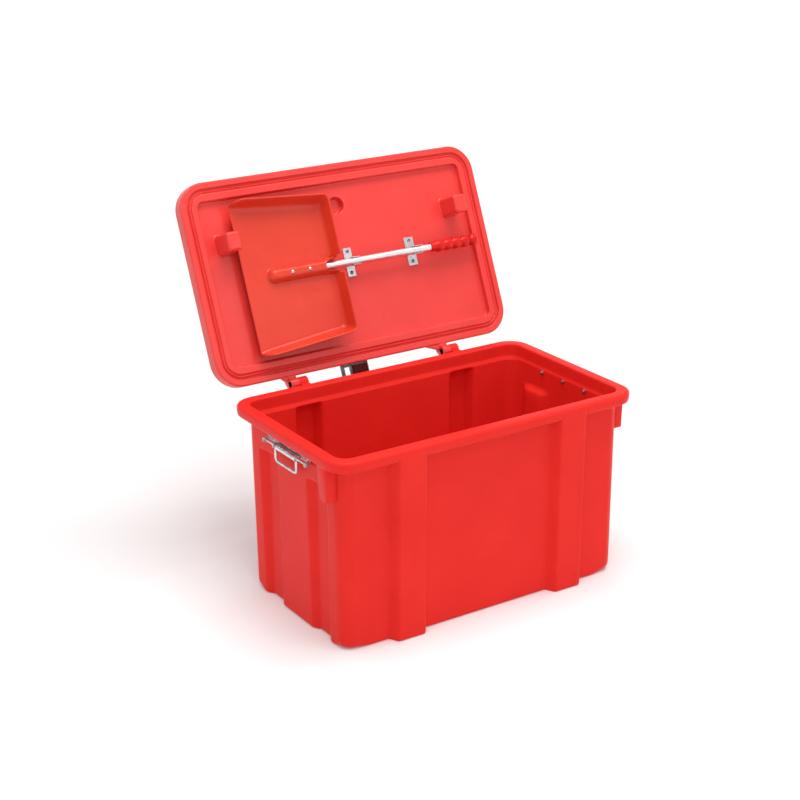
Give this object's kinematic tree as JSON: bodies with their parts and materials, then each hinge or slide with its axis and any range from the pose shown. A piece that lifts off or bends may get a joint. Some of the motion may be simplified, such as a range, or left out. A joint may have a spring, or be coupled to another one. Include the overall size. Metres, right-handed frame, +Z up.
{
  "type": "grit salt bin",
  "caption": "Red plastic grit and salt bin with ribbed tub, rear-hinged double-walled lid standing open, drop handles on the ends and a scoop clipped inside the lid.",
  "frame": {"origin": "centre of the tub's footprint, on the ground", "axes": "+X along the bin's length, +Y towards the hinge side, +Z up; the front is -Y"},
  "size_m": [0.782, 0.6987, 0.8773],
  "materials": {
    "body_plastic": "semi-gloss moulded, fine grain",
    "lid_plastic": "semi-gloss moulded",
    "pan_plastic": "semi-gloss moulded",
    "galvanised": "zinc plated, dull",
    "fastener": "zinc plated",
    "tube_steel": "bright drawn",
    "grip_plastic": "semi-gloss moulded",
    "buffer_rubber": "matt"
  },
  "bodies": {
    "tub": {"tub": "body_plastic", "hinge_pins": "fastener", "left_handle_plate": "galvanised", "left_handle_rod": "galvanised", "left_handle_spring": "galvanised", "left_handle_bolts": "fastener", "left_handle_nuts": "fastener", "right_handle_plate": "galvanised", "right_handle_rod": "galvanised", "right_handle_spring": "galvanised", "right_handle_bolts": "fastener", "right_handle_nuts": "fastener"},
    "lid": {"lid": "lid_plastic", "clip_near_pan": "galvanised", "clip_near_grip": "galvanised", "clip_screws": "fastener", "stop_bracket": "galvanised", "stop_buffer": "buffer_rubber", "stop_screws": "fastener"},
    "left_bail": {"left_bail": "galvanised"},
    "right_bail": {"right_bail": "galvanised"},
    "scoop": {"scoop_pan": "pan_plastic", "scoop_tube": "tube_steel", "scoop_grip": "grip_plastic", "scoop_rivets": "fastener"}
  },
  "joints": [
    {"name": "lid_hinge", "type": "hinge", "parent": "tub", "child": "lid", "pos_m": [0, 0.2475, 0.4365], "axis": [1, 0, 0], "range_deg": [0, 113]},
    {"name": "left_bail_pivot", "type": "hinge", "parent": "tub", "child": "left_bail", "pos_m": [-0.3765, 0, 0.3915], "axis": [0, 1, 0], "range_deg": [-15, 140]},
    {"name": "right_bail_pivot", "type": "hinge", "parent": "tub", "child": "right_bail", "pos_m": [0.3765, 0, 0.3915], "axis": [0, -1, 0], "range_deg": [-15, 140]},
    {"name": "scoop_release", "type": "slide", "parent": "lid", "child": "scoop", "axis": [0, -0.9205, 0.3907], "range_m": [0, 0.15]}
  ]
}
